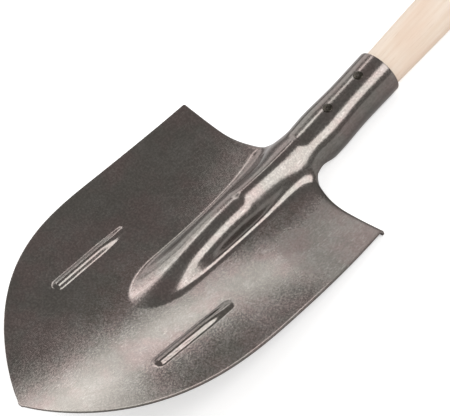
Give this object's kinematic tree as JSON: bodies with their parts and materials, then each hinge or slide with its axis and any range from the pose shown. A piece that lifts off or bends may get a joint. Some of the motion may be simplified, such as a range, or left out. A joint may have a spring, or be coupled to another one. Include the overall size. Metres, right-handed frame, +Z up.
{
  "type": "garden spade",
  "caption": "Pointed digging spade: dished steel blade with a hollow ridge, pressed ribs, step lips and a rolled socket, on a long round wooden handle.",
  "frame": {"origin": "centre of the bounding box's bottom face: the floor under the tool as it lies on its back", "axes": "+Y along the handle from the blade's tip to the handle's end, +X to the right as seen from the tip, +Z up. The tool lies digging face up on the handle's end, the socket's rim and the right step lip, so the blade is rolled about 15 degrees to its right"},
  "size_m": [0.2118, 1.4406, 0.0887],
  "materials": {
    "blade_steel": "dark blued mill-finish steel sheet, lightly lacquered, with fine speckle and brushed scratches",
    "handle_wood": "pale unvarnished birch, sanded, with straight fine grain",
    "screw_steel": "dark zinc-plated cross-recess wood screw"
  },
  "bodies": {
    "root": {"blade": "blade_steel", "handle": "handle_wood", "screw_upper": "screw_steel", "screw_lower": "screw_steel"}
  },
  "joints": []
}
